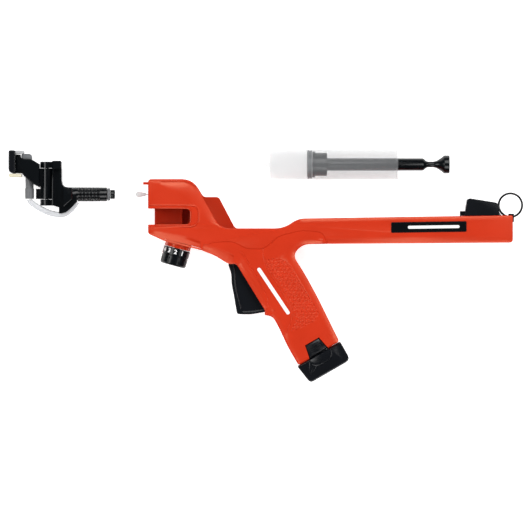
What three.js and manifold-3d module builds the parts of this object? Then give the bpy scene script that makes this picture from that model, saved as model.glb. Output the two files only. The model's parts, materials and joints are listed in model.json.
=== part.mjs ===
// A cordless paint edger laid out as a kit: the gun, its paint syringe and its edging head, lying on one side.
// Millimetres. X runs to the gun's rear, Y to its top, and Z up from the bench. The drawing's zero is where the
// syringe's seated axis meets the gun's front face, halfway through the gun; the kit is centred at the end.
import * as THREE from "three";
import { mergeVertices } from "three/addons/utils/BufferGeometryUtils.js";
import Module from "manifold-3d";

const wasm = await Module();
wasm.setup();

// ---- driving dimensions -------------------------------------------------------------------------------------
const HALF = 22; // half the gun's width
const WALL = 2; // moulded wall
const GAP = 0.3; // between pieces that touch
const SPLIT = 0.15; // each shell stops this far from the middle plane
const REAR = 418.9; // end of the bar
const TRAY_TOP = -14.5;
const TRAY_R = 20.1; // round floor that the syringe's flange drops into
const SCREW_Y = -24.9;
const SCREW_R = 1.8;
const GEAR_MODULE = 1;
const DRIVE_TEETH = 16;
const SCREW_TEETH = 8;
const DRIVE_Y = SCREW_Y - ((DRIVE_TEETH + SCREW_TEETH) / 2) * GEAR_MODULE - 0.2;
const SOCKET_Y = 25.5; // axis of the head's socket and of its tail
const SOCKET_R = 8.5;
const TAIL_R = 8.15;
const TRIGGER_PIVOT = [103, -46];
const DIAL_AT = [33.2, -36.9];
const DIAL_TILT = THREE.MathUtils.degToRad(-15.5);
const GRIP_AT = [196, -157]; // middle of the grip's open end
const GRIP_TILT = THREE.MathUtils.degToRad(30);
const SYRINGE_Y = 60;
const FLANGE_R = 19.8;
const BARREL_R = 18.4;
const NOZZLE_R = 4.8;
const HEAD_HINGE_X = -116.8;
const KNUCKLE_R = 7.6;
const FITTING_X = -136.8; // axis of the fitting that feeds the pad
const FITTING_R = 4.7;
const SCREW_SPOTS = [[54, 30], [9, -17], [68, -36.5], [164, -60], [150, -104], [196, -112]];

// ---- finishes -----------------------------------------------------------------------------------------------
const finish = (color, roughness, metalness = 0, opacity = 1) =>
  new THREE.MeshStandardMaterial({ color, roughness, metalness, opacity, transparent: opacity < 1 });
const ORANGE = finish(0xd8401f, 0.35);
const BLACK = finish(0x17181a, 0.45);
const GREY = finish(0x8d9092, 0.5);
const WHITE = finish(0xe9e7e0, 0.6);
const CLEAR = finish(0xdfe4e6, 0.25, 0, 0.4);
const STEEL = finish(0xb4b7ba, 0.3, 1);
const BRASS = finish(0xb5924a, 0.35, 1);
const GREEN = finish(0x1d5a3a, 0.5);
const CREAM = finish(0xece6cf, 0.95);

// ---- shapes -------------------------------------------------------------------------------------------------
/** A closed outline from corners [x, y, radius]; each corner is eased over its radius, if that is least or more. */
function outline(corners, least = 0) {
  const shape = new THREE.Shape();
  corners.forEach(([x, y, radius = 0], i) => {
    const r = radius < least ? 0 : radius;
    const corner = new THREE.Vector2(x, y);
    const before = new THREE.Vector2(...corners.at(i - 1));
    const after = new THREE.Vector2(...corners[(i + 1) % corners.length]);
    const start = corner.clone().lerp(before, r / corner.distanceTo(before));
    const end = corner.clone().lerp(after, r / corner.distanceTo(after));
    if (i === 0) shape.moveTo(start.x, start.y);
    else shape.lineTo(start.x, start.y);
    if (r > 0) shape.quadraticCurveTo(x, y, end.x, end.y);
  });
  return shape;
}

/** A box outline with eased corners. */
const boxOutline = (x0, x1, y0, y1, r = 0) => outline([[x0, y0, r], [x1, y0, r], [x1, y1, r], [x0, y1, r]]);

/** An outline made solid from z0 to z1, its rims bevelled, its sides moved out by grow. */
function slab(shape, z0, z1, { bevel = 0, grow = 0, steps = 1, round = 3 } = {}) {
  const ramp = bevel || (grow ? 0.5 : 0);
  return new THREE.ExtrudeGeometry(shape, {
    depth: z1 - z0 - 2 * ramp,
    curveSegments: round,
    bevelEnabled: ramp > 0,
    bevelThickness: ramp,
    bevelSize: bevel,
    bevelOffset: grow - bevel,
    bevelSegments: bevel ? steps : 1,
  }).translate(0, 0, z0 + ramp);
}

const block = (x0, x1, y0, y1, z0, z1) =>
  new THREE.BoxGeometry(x1 - x0, y1 - y0, z1 - z0).translate((x0 + x1) / 2, (y0 + y1) / 2, (z0 + z1) / 2);

/** A profile of [radius, height] pairs turned about Y, closed on itself when it leaves the axis. */
function turned(profile, segments = 24) {
  const points = profile.map(([r, h]) => new THREE.Vector2(r, h));
  if (profile[0][0] > 0) points.push(points[0].clone());
  return new THREE.LatheGeometry(points, segments);
}

/** The same, with the heights running along +X from the gun's front face, about the line y, z = 0. */
const turnedX = (profile, y = 0, segments = 24) =>
  turned(profile, segments).rotateZ(-Math.PI / 2).translate(0, y, 0);

/** The same, with the heights running along +Z, about the point x, y. */
const turnedZ = (profile, x, y, segments = 16) => turned(profile, segments).rotateX(Math.PI / 2).translate(x, y, 0);

/** A plain pin or hole from h0 to h1 as a profile. */
const pin = (r, h0, h1) => [[0, h0], [r, h0], [r, h1], [0, h1]];

/** A pipe's wall as a profile. */
const pipe = (inner, outer, h0, h1) => [[inner, h0], [outer, h0], [outer, h1], [inner, h1]];

/** A round section swept along a smooth line through points. */
function tube(points, radius, steps, sides) {
  const section = new THREE.Shape(
    Array.from({ length: sides }, (_, i) => {
      const angle = (i / sides) * 2 * Math.PI;
      return new THREE.Vector2(radius * Math.cos(angle), radius * Math.sin(angle));
    }),
  );
  const extrudePath = new THREE.CatmullRomCurve3(points);
  return new THREE.ExtrudeGeometry(section, { steps, bevelEnabled: false, extrudePath });
}

// ---- joining and cutting ------------------------------------------------------------------------------------
/** The geometry as a solid with its shared corners merged and its empty triangles dropped. */
function solid(geometry) {
  const bare = geometry.index ? geometry.toNonIndexed() : geometry.clone();
  bare.deleteAttribute("normal");
  bare.deleteAttribute("uv");
  const merged = mergeVertices(bare, 1e-3);
  const triVerts = [];
  for (let i = 0; i < merged.index.count; i += 3) {
    const [a, b, c] = [0, 1, 2].map((k) => merged.index.getX(i + k));
    if (a !== b && b !== c && c !== a) triVerts.push(a, b, c);
  }
  const mesh = new wasm.Mesh({
    numProp: 3,
    vertProperties: merged.attributes.position.array,
    triVerts: new Uint32Array(triVerts),
  });
  return new wasm.Manifold(mesh);
}

const joined = (...pieces) => pieces.map((p) => (p.isBufferGeometry ? solid(p) : p)).reduce((a, b) => a.add(b));
const cut = (piece, ...tools) => joined(piece).subtract(joined(...tools));

/** The solid as a geometry for a mesh. */
function skin(manifold) {
  const { vertProperties, numProp, triVerts } = manifold.getMesh();
  const position = new THREE.BufferAttribute(new Float32Array(vertProperties), numProp);
  const geometry = new THREE.BufferGeometry().setAttribute("position", position);
  geometry.setIndex(new THREE.BufferAttribute(new Uint32Array(triVerts), 1));
  geometry.computeVertexNormals();
  return geometry;
}

function part(group, name, material, shape) {
  const mesh = new THREE.Mesh(shape.isBufferGeometry ? shape : skin(shape), material);
  mesh.name = name;
  group.add(mesh);
}

/** A frame turned about Z and set down at a point, such as the grip's or the dial's. */
function frameAt([x, y], angle) {
  const frame = new THREE.Group();
  frame.position.set(x, y, 0);
  frame.rotation.z = angle;
  return frame;
}

/** A geometry drawn in such a frame, moved into the gun's. */
const placed = (geometry, [x, y], angle) => geometry.rotateZ(angle).translate(x, y, 0);
const inGrip = (geometry) => placed(geometry, GRIP_AT, GRIP_TILT);
const inDial = (geometry) => placed(geometry, DIAL_AT, DIAL_TILT);

// ---- the two shells -----------------------------------------------------------------------------------------
const FRONT = [[0, -19.8, 2.5], [0, 42.9, 4]];
const BAR_END = [[REAR, 1.3, 2.6], [REAR, -30, 3.5]];
const UNDERSIDE = [[205, -31.5, 3], [200, -19, 5], [178, -16.5, 8], [150, -23, 8], [134, -38, 7], [114, -38, 6], [96, -29, 8]];
const CHIN = [[72, -31, 5], [62, -39.2, 2], [18, -28, 2]];
const NEAR_CHEEK = [[51, 42.9, 12], [82.5, -13.7, 12]];
const FAR_CHEEK = [[51, 42.9, 12], [63.5, 22.7, 3], [81, 22.7, 3], [100, -13.7, 4]];
const BAR_STEP = [[156, -13.7, 11], [172, -2.4, 8]];

const upperOutline = (cheek, least) =>
  outline([...FRONT, ...cheek, ...BAR_STEP, ...BAR_END, ...UNDERSIDE, ...CHIN], least);

const GRIP_CORNERS = [
  [58, -24], [62, -39.4, 2], [76, -44.6, 5], [92, -54.6, 3.5], [101.5, -54.6, 3.5], [134.6, -108.4, 2.4],
  [133.4, -113.4, 2.4], [143, -114.8, 5], [150, -127, 6], [160.5, -150, 10], [172.8, -171, 3.2],
  [219.7, -143.5, 3.2], [208.6, -121.2, 12], [196, -95, 12], [180.5, -66.5, 14], [166, -44, 8.5],
  [178, -32, 8], [209, -31.4, 3], [207, -15.6], [98, -15.6],
];
const BLUNT = 7; // corners eased by less than this stay sharp in the hollow

/** Everything that is taken out of both shells. */
function shellCuts() {
  const channel = outline([[51, -22.6], [51, 11.3], [66, 29], [120, 60], [REAR + 2, 60], [REAR + 2, -14], [416.2, -14],
    [416.2, -22.6]]);
  const driveBay = outline([[66, -22], [214, -22], [214, -28.9], [186, -28.9], [172, -31], [164, -40], [164, -52], [110, -52],
    [96, -45], [66, -36]]);
  const triggerSlot = outline([[90, -57], [95.5, -39.2], [111, -39.2], [113.5, -50], [152, -97.5], [151, -108.6],
    [131, -110.9], [100, -75]]);
  const latchRecess = outline([[-9.2, 15.6], [9.2, 15.6], [13, -3], [-13, -3]]);
  return joined(
    slab(channel, -TRAY_R, TRAY_R),
    slab(driveBay, -19, 19),
    slab(triggerSlot, -9.6, 9.6),
    inGrip(slab(latchRecess, 17, HALF + 1)),
    inGrip(slab(latchRecess, -HALF - 1, -17)),
    inGrip(block(-17.6, 17.6, -6, 50.6, -17.6, 17.6)),
    inDial(turned(pin(14.7, -8, 10.6))),
    turnedX(pin(10.8, -1, 40), SOCKET_Y),
    block(-1, 12.5, 5, SOCKET_Y, -4.6, 4.6),
  );
}

/** One shell: side is 1 for the upper half as it lies, -1 for the half on the bench. */
function shell(side, cheek) {
  const body = joined(
    slab(upperOutline(cheek), -HALF, HALF, { bevel: 1.2, round: 5 }),
    slab(outline(GRIP_CORNERS), 1 - HALF, HALF - 1, { bevel: 1.4, round: 5 }),
  );
  const hollow = joined(
    slab(upperOutline(cheek, BLUNT), WALL - HALF, HALF - WALL, { grow: -WALL }),
    slab(outline(GRIP_CORNERS, BLUNT), WALL + 1 - HALF, HALF - WALL - 1, { grow: -WALL }),
  );
  const walls = joined(
    block(1, 50, 9.1, 11.3, -21, 21),
    block(1, 50, -11.6, -9.4, -21, 21),
    block(48.6, 51, -24, 39, -21, 21),
    ...SCREW_SPOTS.map(([x, y]) => turnedZ(pin(3.6, -20.5, 20.5), x, y)),
  );
  const half = side > 0 ? block(-20, 440, -200, 60, SPLIT, HALF) : block(-20, 440, -200, 60, -HALF, -SPLIT);
  return body.subtract(hollow).add(walls).subtract(shellCuts()).intersect(solid(half));
}

function makeLeftShell() {
  const window = slab(outline([[-2, -9.4], [48.6, -9.4, 4], [48.6, 9.1, 4], [-2, 9.1]]), -1, HALF + 1);
  const rim = slab(outline([[-2, -13], [57.8, -13, 9], [57.8, 12.9, 9], [-2, 12.9]]), HALF - 0.8, HALF + 1);
  const badge = placed(slab(boxOutline(-43.6, 43.6, -6.3, 6.3, 1.8), HALF - 1, HALF + 1), [322.4, -12.2], 0.0148);
  const catchTab = block(-5.9, 1, 36.6, 39.6, SPLIT, 8);
  const pilots = SCREW_SPOTS.map(([x, y]) => turnedZ(pin(1.2, -1, 9), x, y));
  return shell(1, NEAR_CHEEK).add(solid(catchTab)).subtract(joined(window, rim, badge, ...pilots));
}

function makeRightShell() {
  const notch = block(-2, 7, -9.4, 9.1, -HALF - 1, 1);
  const rib = block(36.8, 38.8, -10, 10, -21, -9);
  const holes = SCREW_SPOTS.flatMap(([x, y]) => [
    turnedZ(pin(1.7, -HALF, 1), x, y),
    turnedZ(pin(3.1, -HALF - 1, -14), x, y),
  ]);
  return shell(-1, FAR_CHEEK).add(solid(rib)).subtract(joined(notch, ...holes));
}

// ---- inside the gun -----------------------------------------------------------------------------------------
/** A spur gear's outline with straight-sided teeth, one tooth pointing along the given angle. */
function gearOutline(teeth, toothAt) {
  const pitchR = (teeth * GEAR_MODULE) / 2;
  const [tip, root] = [pitchR + 0.75, pitchR - 1.05];
  const pitch = (2 * Math.PI) / teeth;
  const points = [];
  for (let tooth = 0; tooth < teeth; tooth += 1) {
    for (const [r, part] of [[root, -0.27], [tip, -0.11], [tip, 0.11], [root, 0.27]]) {
      const angle = toothAt + (tooth + part) * pitch;
      points.push(new THREE.Vector2(r * Math.cos(angle), r * Math.sin(angle)));
    }
  }
  return new THREE.Shape(points);
}

/** A gear lying across X between x0 and x1, bored for its shaft. */
function gear(teeth, toothAt, y, x0, x1, boreR) {
  const wheel = slab(gearOutline(teeth, toothAt), x0, x1).rotateX(Math.PI / 2).rotateZ(Math.PI / 2);
  return cut(wheel.translate(0, y, 0), turnedX(pin(boreR, x0 - 1, x1 + 1), y, 16));
}

function addDrive(gun) {
  part(gun, "drive_motor", STEEL, turnedX([[0, 114], [10, 114], [10, 133], [3, 133], [3, 133.6], [0, 133.6]], DRIVE_Y, 20));
  const gearbox = [[0, 134], [10.5, 134], [10.5, 149], [4, 149], [4, 150.4], [2, 150.4], [2, 158], [0, 158]];
  part(gun, "reduction_gearbox", BLACK, turnedX(gearbox, DRIVE_Y, 20));
  part(gun, "drive_gear", WHITE, gear(DRIVE_TEETH, Math.PI / 2, DRIVE_Y, 152, 158, 2.3));
  part(gun, "screw_gear", WHITE, gear(SCREW_TEETH, -Math.PI / 2 + Math.PI / SCREW_TEETH, SCREW_Y, 152, 158, SCREW_R + GAP));
  part(gun, "lead_screw", STEEL, turnedX(pin(SCREW_R, 151, 414.5), SCREW_Y, 12));
  const bearing = (x0, x1, half) =>
    cut(block(x0, x1, -27.4, -22.7, -half, half), turnedX(pin(SCREW_R + 0.1, x0 - 1, x1 + 1), SCREW_Y, 12));
  part(gun, "front_bearing", BRASS, bearing(161, 167, 6));
  part(gun, "rear_bearing", BRASS, bearing(411, 415.8, 6));
}

function addTray(gun) {
  const tray = cut(
    block(66, 415.9, -22.4, TRAY_TOP, -19.8, 19.8),
    turnedX(pin(TRAY_R, 60, 420), 0, 40),
    block(240, 410, -24, -10, -4, 4),
    block(150.5, 159.5, -24, -10, -6, 6),
  );
  part(gun, "syringe_tray", ORANGE, tray);
  const saddle = cut(
    block(51.4, 65.6, -22.3, 10.6, -19.3, 19.3),
    turnedX(pin(NOZZLE_R + 0.4, 50, 67), 0, 24),
    block(50, 67, 0, 12, -NOZZLE_R - 0.4, NOZZLE_R + 0.4),
    block(50, 67, 7, 12, -22, 22),
  );
  part(gun, "nozzle_saddle", BLACK, saddle);
}

function addSocket(gun) {
  const socket = cut(
    turnedX(pin(10.5, 0.2, 46), SOCKET_Y, 24),
    turnedX(pin(SOCKET_R, -1, 44.2), SOCKET_Y, 24),
    turnedX(pin(1.1, 40, 48), SOCKET_Y, 12),
    block(-1, 12.8, 9, SOCKET_Y, -4.7, 4.7),
  );
  part(gun, "head_socket", ORANGE, socket);
  part(gun, "needle_stem", STEEL, turnedX(pin(0.65, -11.1, 45), SOCKET_Y, 8));
  const bulb = [[0, -14.6], [2, -14.2], [3.2, -12.4], [3.2, -9.4], [2.3, -6.2], [2.1, -3], [0.95, -3], [0.95, -11.4],
    [0, -11.4]];
  part(gun, "needle_tip", WHITE, turnedX(bulb, SOCKET_Y, 12));
}

function addTrigger(gun) {
  const blade = outline([[91.8, -55.4, 2], [97, -42, 4], [109, -42, 4], [109.5, -56, 3], [112.5, -66, 3],
    [137.6, -105.6, 1.8], [137, -109.4, 1.8], [117, -112.9, 6], [102, -112.4, 3], [98.4, -90, 4], [95.8, -78, 4],
    [95.6, -66, 4]]);
  const [x, y] = TRIGGER_PIVOT;
  part(gun, "trigger", BLACK, cut(slab(blade, -8.8, 8.8, { bevel: 0.9 }), turnedZ(pin(2.1, -12, 12), x, y)));
  part(gun, "trigger_pin", STEEL, turnedZ(pin(2, -18.7, 18.7), x, y, 12));
  const coils = 3.5;
  const coil = Array.from({ length: 21 }, (_, i) => {
    const angle = (i / 20) * coils * 2 * Math.PI;
    return new THREE.Vector3(x + 3.2 * Math.cos(angle), y + 3.2 * Math.sin(angle), 10.4 + (i / 20) * 5.6);
  });
  part(gun, "trigger_spring", STEEL, tube(coil, 0.5, 28, 5));
  part(gun, "trigger_switch", BLACK, placed(block(-4.5, 4.5, -9, 9, -5, 5), [136, -72], 0.55));
}

function addDial(gun) {
  const dial = frameAt(DIAL_AT, DIAL_TILT);
  gun.add(dial);
  part(dial, "dial_collar", ORANGE, turned(pipe(3.4, 14.4, GAP, 10.3)));
  const knob = [[0, -19.3], [12.4, -19.3], [14.4, -17.9], [14.8, -15.9], [14.8, -8.1], [15.5, -7.9], [15.5, -0.3], [15, 0],
    [3.4, 0], [3.4, -9], [0, -9]];
  part(dial, "speed_dial", BLACK, turned(knob, 20));
  part(dial, "dial_shaft", STEEL, turned(pin(3.1, -8.7, 10.9), 12));
  part(dial, "speed_control", GREEN, block(-9, 9, 11.2, 15, -9, 9));
}

function addBoards(gun) {
  const grip = frameAt(GRIP_AT, GRIP_TILT);
  gun.add(grip);
  part(grip, "control_board", GREEN, block(-7, 20, 63, 65.4, -12, 12));
  part(grip, "contact_block", BLACK, block(-13, 13, 51.4, 57, -12, 12));
}

// ---- carriage and ring --------------------------------------------------------------------------------------
const RING_AT = [416.8, 13.1];
const RING_R = 13.5;

function addCarriage(gun) {
  const top = outline([[363.5, -3], [363.5, 1.2], [366.4, 19.2, 1.2], [369, 20.9, 1.5], [401, 15.8, 2], [409, -3]]);
  const eyeY = RING_AT[1] - RING_R;
  const reach = RING_R + 1.6;
  const sweep = [[0, RING_AT[0] - Math.sqrt(reach ** 2 - RING_R ** 2)]]; // the space that the ring swings through
  for (let step = 7; step >= -6; step -= 1) {
    const a = (step * Math.PI) / 24;
    sweep.push([RING_R - reach * Math.sin(a), RING_AT[0] - reach * Math.cos(a)]);
  }
  sweep.push([RING_R + reach, RING_AT[0]], [0, RING_AT[0]]);
  const carriage = cut(
    joined(
      cut(
        joined(slab(top, -19.2, 19.2, { bevel: 0.8 }), block(364.5, 408, -14.1, 0, -13, 13)),
        turnedX(sweep, eyeY, 32),
      ),
      block(358.6, 366, 0.7, 6.2, -6, 6),
      block(400, 415, -9, -3.2, -4, 4),
      block(414.3, 420.8, -6.2, 3.2, -4, 4),
    ),
    turnedX(pin(2.3, 413, 422), eyeY, 16),
    block(402, 414.3, -3.2, 30, -2.2, 2.2),
  );
  part(gun, "pusher_carriage", BLACK, carriage);
  part(gun, "drive_nut", BRASS,
    cut(block(370, 400, -27.6, -14.4, -3.6, 3.6), turnedX(pin(SCREW_R + 0.1, 369, 401), SCREW_Y, 12)));
  const ring = new THREE.TorusGeometry(RING_R, 1.2, 6, 24).translate(...RING_AT, 0);
  part(gun, "pull_ring", BLACK, solid(ring));
}

// ---- battery, drawn in the grip's frame: Y runs up the grip ----------------------------------------------------
function addBattery(gun) {
  const grip = frameAt(GRIP_AT, GRIP_TILT);
  gun.add(grip);
  const spots = [[-7.6, -7.6], [7.6, -7.6], [-7.6, 7.6], [7.6, 7.6]];
  const base = outline([[-29, -0.9, 2], [28, -0.9, 2], [27.8, -24.8, 6], [-25.4, -24.8, 4]]);
  const lying = (geometry) => geometry.rotateX(-Math.PI / 2);
  const pack = cut(
    joined(slab(base, -21.5, 21.5, { bevel: 1.2 }), block(-17, 17, -4, 49, -17, 17)),
    lying(slab(boxOutline(-15.5, 15.5, -15.5, 15.5, 2), -3, 51)),
  );
  part(grip, "battery_case", BLACK, pack);
  part(grip, "battery_lid", BLACK, block(-17, 17, 49.3, 50.4, -17, 17));
  spots.forEach(([x, z], i) => {
    const cell = [[0, -2.4], [7.1, -2.4], [7.1, 46.4], [2.4, 46.4], [2.4, 48], [0, 48]];
    part(grip, `battery_cell_${i + 1}`, GREEN, turned(cell, 12).translate(x, 0, z));
  });
  const latch = outline([[-8.6, 14.9, 1.4], [8.6, 14.9, 1.4], [11.4, 0.8, 1.6], [-11.4, 0.8, 1.6]]);
  part(grip, "latch_left", BLACK, slab(latch, 19.1, 22, { bevel: 0.6 }));
  part(grip, "latch_right", BLACK, slab(latch, -21.9, -19.1, { bevel: 0.6 }));
}

function addBadgeAndScrews(gun) {
  const plate = slab(boxOutline(-43.2, 43.2, -5.9, 5.9, 1.5), HALF - 0.7, HALF + 0.3);
  part(gun, "badge_plate", BLACK, placed(plate, [322.4, -12.2], 0.0148));
  const screw = [[0, -17], [2.8, -17], [2.8, -14.5], [1, -14.5], [1, 8], [0, 8]];
  SCREW_SPOTS.forEach(([x, y], i) => {
    part(gun, `housing_screw_${i + 1}`, STEEL, turnedZ(screw, x, y, 12));
  });
}

// ---- syringe ------------------------------------------------------------------------------------------------
function makeSyringe() {
  const syringe = new THREE.Group();
  syringe.position.set(0, SYRINGE_Y, FLANGE_R - HALF);
  const barrel = [[2.2, 123.1], [4.4, 123.1], [NOZZLE_R, 123.6], [NOZZLE_R, 137.2], [17.6, 137.8], [BARREL_R, 138.8],
    [BARREL_R, 284.2], [FLANGE_R, 284.4], [FLANGE_R, 287.3], [17, 287.3], [17, 140.2], [2.2, 139.4]];
  part(syringe, "syringe_barrel", CLEAR, turnedX(barrel, 0, 24));
  part(syringe, "plunger_seal", GREY, turnedX([[0, 182.6], [14, 182.6], [16.7, 184], [16.7, 188.4], [0, 188.4]], 0, 24));
  const rod = [[0, 188.8], [15, 188.8], [15, 192], [13.4, 193], [13.4, 205.6], [7.2, 206.4], [7.2, 317.2], [3.3, 320.4],
    [3.3, 329], [6.4, 335], [10.5, 340], [10.5, 346.4], [10, 346.8], [0, 346.8]];
  part(syringe, "plunger_rod", BLACK, turnedX(rod, 0, 16));
  return syringe;
}

// ---- edging head --------------------------------------------------------------------------------------------
const HOSE_ROUTE = [[-136.9, 19.6], [-136.5, 17.6], [-129.6, 11.9], [-117.6, 5.6], [-109, 2.9], [-101.3, 1.7], [-95.4, 3.2],
  [-90, 7], [-85.2, 12.2], [-82.6, 17]];

function makeHeadBody() {
  const spine = outline([[-110.2, 64, 1.6], [-99.5, 64, 2], [-99.5, 33.4, 8], [-87, 33.4, 1.5], [-87, 20], [-97, 11.4],
    [-103.2, 10.6], [-110.2, 12.8, 1.5]]);
  const foot = outline([[-102.6, 12], [-102.6, 3.2, 1], [-95.4, 4.2, 2], [-88.6, 9.8, 4], [-81.9, 17.2], [-82.4, 23], [-100.5, 23]]);
  const ribs = Array.from({ length: 6 }, (_, i) => [[TAIL_R - 1.1, -78.8 + i * 4], [TAIL_R, -78.8 + i * 4],
    [TAIL_R, -76.7 + i * 4], [TAIL_R - 1.1, -76.7 + i * 4]]).flat();
  const tail = [[0, -100], [TAIL_R, -100], [TAIL_R, -81.2], [TAIL_R - 1.1, -81.2], ...ribs, [TAIL_R - 1.1, -55.6],
    [TAIL_R, -55.6], [TAIL_R, -47.4], [5.6, -47.4], [5.6, -43.8], [0, -43.8]];
  const lug = (y0, y1) => joined(
    turned(pin(KNUCKLE_R, y0, y1), 32).translate(HEAD_HINGE_X, 0, 0),
    block(HEAD_HINGE_X, -104, y0 + 0.3, y1 - 0.3, -6.1, 6.1),
  );
  return cut(
    joined(slab(spine, -HALF, HALF, { bevel: 1 }), slab(foot, -9, 9), turnedX(tail, SOCKET_Y, 16), lug(12.6, 19.6), lug(55.8, 63)),
    turned(pin(2.3, 10, 70), 16).translate(HEAD_HINGE_X, 0, 0),
    turned(pin(KNUCKLE_R + 0.6, 19.6, 55.8), 32).translate(HEAD_HINGE_X, 0, 0),
    turnedX(pin(4.1, -96, -40), SOCKET_Y, 16),
    block(-106.5, -78.4, 0, 19.4, -4.5, 4.5),
    slab(outline([[-109, 55], [-109, 0], [-97, 0], [-97, 55]]), 12, HALF + 1),
    slab(outline([[-109, 55], [-109, 11], [-97, 11], [-97, 55]]), -HALF + 4, -12),
  );
}

function makeArm() {
  const beam = outline([[-152.3, 50], [-152.3, 71.4], [-147, 71], [-146.3, 67], [-134.6, 66, 2], [-124.9, 60.2],
    [-124.9, 33.4], [-132.1, 37.2, 2], [-142, 45.6, 2], [-145.2, 49.7]]);
  return cut(
    joined(
      slab(beam, -14, 14, { bevel: 1 }),
      turned(pin(KNUCKLE_R, 20, 55.4), 32).translate(HEAD_HINGE_X, 0, 0),
      block(-126, HEAD_HINGE_X, 34.5, 55.2, -6.1, 6.1),
      block(-129.2, -120, 20.2, 31.8, -3.5, 3.5),
    ),
    turned(pin(2.3, 10, 70), 16).translate(HEAD_HINGE_X, 0, 0),
    turned(pin(FITTING_R + GAP, 30, 45.6), 24).translate(FITTING_X, 0, 0),
    block(-146, -133.4, 62, 80, -11, 11),
  );
}

function addHead(head) {
  part(head, "head_body", BLACK, makeHeadBody());
  part(head, "tail_tip", BLACK, turnedX(pipe(4.2, 5.4, -43.5, -38.4), SOCKET_Y, 16));
  part(head, "tail_seal", GREY, turnedX(pipe(5.9, 7.2, -47.1, -43.9), SOCKET_Y, 16));
  part(head, "hinge_pin", STEEL, turned(pin(2.2, 12.4, 63.2), 12).translate(HEAD_HINGE_X, 0, 0));
  part(head, "swivel_arm", BLACK, makeArm());
  part(head, "release_button", GREY, slab(outline([[-145.6, 64.6], [-133.8, 64.6], [-133.8, 70, 1.4], [-136, 72.1, 1.2], [-145.6, 72.1, 1.6]]),
    -10.6, 10.6, { bevel: 0.5 }));
  const fitting = [[0, 20.4], [5.2, 20.4], [5.2, 32.6], [FITTING_R, 33.2], [FITTING_R, 45.3], [0, 45.3]];
  part(head, "feed_fitting", GREY, turned(fitting, 24).translate(FITTING_X, 0, 0));
  part(head, "pad_plate", BLACK, slab(outline([[-160.2, 76, 2], [-152.8, 76, 1.5], [-152.8, 49.4], [-156, 49.4, 1.5], [-160.2, 51.6, 3]]),
    -HALF, HALF, { bevel: 0.8 }));
  part(head, "paint_pad", CREAM, slab(boxOutline(-160, -145.6, 45.2, 49.1, 1.5), -21, 21, { bevel: 1 }));
  part(head, "edge_guide", GREY, block(-152.5, -143.2, 72.6, 75.8, -20, 20));
  const route = HOSE_ROUTE.map(([x, y]) => new THREE.Vector3(x, y, 0));
  part(head, "paint_hose", CLEAR, tube(route, 3.3, 18, 8));
}

// ---- the kit ------------------------------------------------------------------------------------------------
const kit = new THREE.Group();
part(kit, "left_shell", ORANGE, makeLeftShell());
part(kit, "right_shell", ORANGE, makeRightShell());
for (const add of [addDrive, addTray, addSocket, addTrigger, addDial, addBoards, addCarriage, addBattery,
  addBadgeAndScrews, addHead]) add(kit);
kit.add(makeSyringe());

kit.updateMatrixWorld(true);
const footprint = new THREE.Box3().setFromObject(kit).getCenter(new THREE.Vector3());
kit.position.set(-footprint.x, -footprint.y, HALF);

export default kit;
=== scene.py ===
"""Looks of a cordless paint edger kit: the gun, its paint syringe and its edging head, lying on a bench."""

from __future__ import annotations

import json
import logging
import math
from dataclasses import dataclass
from enum import Enum
from typing import Iterable, Sequence

import bmesh
import bpy
from mathutils import Matrix, Vector

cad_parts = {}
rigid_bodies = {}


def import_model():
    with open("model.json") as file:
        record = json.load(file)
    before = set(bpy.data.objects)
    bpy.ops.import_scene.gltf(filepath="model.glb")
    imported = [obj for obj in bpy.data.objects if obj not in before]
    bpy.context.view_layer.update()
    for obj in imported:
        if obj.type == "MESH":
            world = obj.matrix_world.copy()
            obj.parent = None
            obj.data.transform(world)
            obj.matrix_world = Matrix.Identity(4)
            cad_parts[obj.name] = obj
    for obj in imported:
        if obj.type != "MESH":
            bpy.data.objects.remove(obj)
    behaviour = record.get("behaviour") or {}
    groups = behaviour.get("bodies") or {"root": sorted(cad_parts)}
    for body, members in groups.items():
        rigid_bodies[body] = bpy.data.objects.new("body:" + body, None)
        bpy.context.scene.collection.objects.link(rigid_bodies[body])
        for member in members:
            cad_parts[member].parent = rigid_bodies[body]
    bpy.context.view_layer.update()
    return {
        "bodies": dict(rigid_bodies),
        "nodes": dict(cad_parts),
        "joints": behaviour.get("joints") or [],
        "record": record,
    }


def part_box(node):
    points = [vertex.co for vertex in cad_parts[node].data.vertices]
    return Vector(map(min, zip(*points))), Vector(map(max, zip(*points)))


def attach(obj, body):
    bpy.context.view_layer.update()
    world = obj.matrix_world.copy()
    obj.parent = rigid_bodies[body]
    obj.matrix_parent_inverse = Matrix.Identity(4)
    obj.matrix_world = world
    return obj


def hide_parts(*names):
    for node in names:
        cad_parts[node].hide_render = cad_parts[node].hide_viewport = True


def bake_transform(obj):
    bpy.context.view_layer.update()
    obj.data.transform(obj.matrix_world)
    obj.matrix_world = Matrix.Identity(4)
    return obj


LOG = logging.getLogger("edger")
MM = 0.001
LEAST_KEPT = 0.5  # the share of a piece's volume that a cut or a join must leave

Point = tuple[float, float]


# ---- places --------------------------------------------------------------------------------------
@dataclass(frozen=True)
class Datum:
    """The drawing's zero: the gun's front face on the syringe's seated axis, halfway through the gun."""

    origin: Vector

    @classmethod
    def from_frame(cls) -> "Datum":
        """Reads the zero off the right shell and the lead screw, whose axis lies 24.9 mm under it."""
        low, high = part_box("right_shell")
        screw_low, screw_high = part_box("lead_screw")
        half = (high.z - low.z) + 0.15 * MM
        return cls(Vector((low.x, (screw_low.y + screw_high.y) / 2 + 24.9 * MM, low.z + half)))

    def at(self, x: float, y: float, z: float = 0.0) -> Vector:
        """A drawing point in millimetres as a place in the scene."""
        return self.origin + Vector((x, y, z)) * MM


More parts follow.
